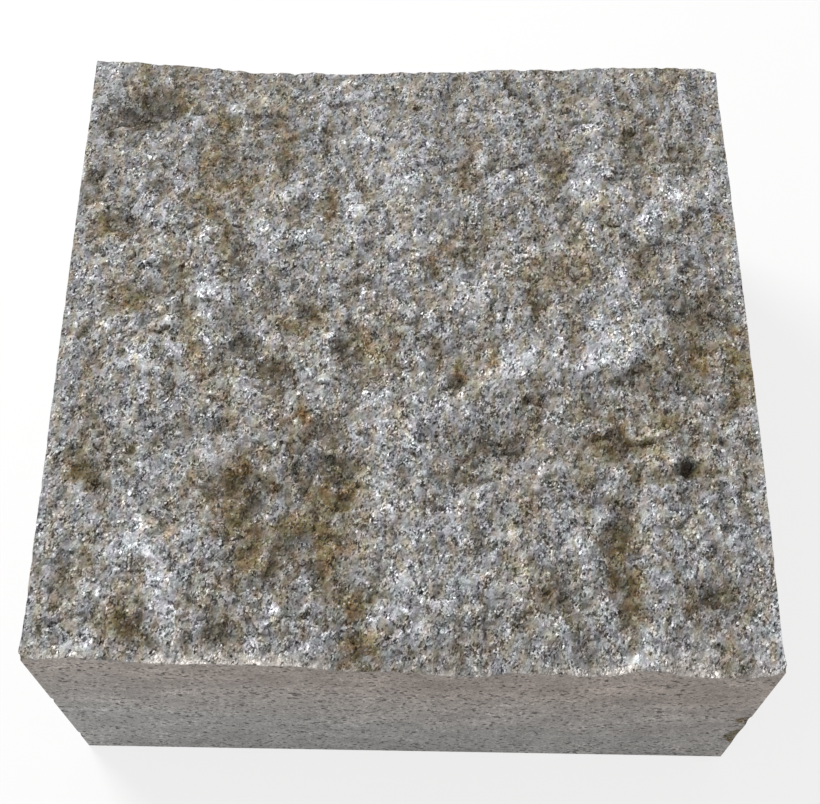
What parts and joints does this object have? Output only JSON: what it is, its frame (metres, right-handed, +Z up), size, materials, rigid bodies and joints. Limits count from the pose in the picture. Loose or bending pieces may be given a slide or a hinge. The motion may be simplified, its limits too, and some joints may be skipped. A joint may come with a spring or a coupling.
{
  "type": "granite kerb stone",
  "caption": "Short granite kerb block with sawn bed, ends, front and back and a split top, laid on a bed of mortar to edge a path or road.",
  "frame": {"origin": "middle of the sawn bed", "axes": "+Z up from the bed to the split top, -Y out of the front face, +X towards the right end seen from the front"},
  "size_m": [0.254, 0.25, 0.1185],
  "materials": {
    "granite": "split top, sawn sides"
  },
  "bodies": {
    "root": {"kerb_stone": "granite"}
  },
  "joints": []
}
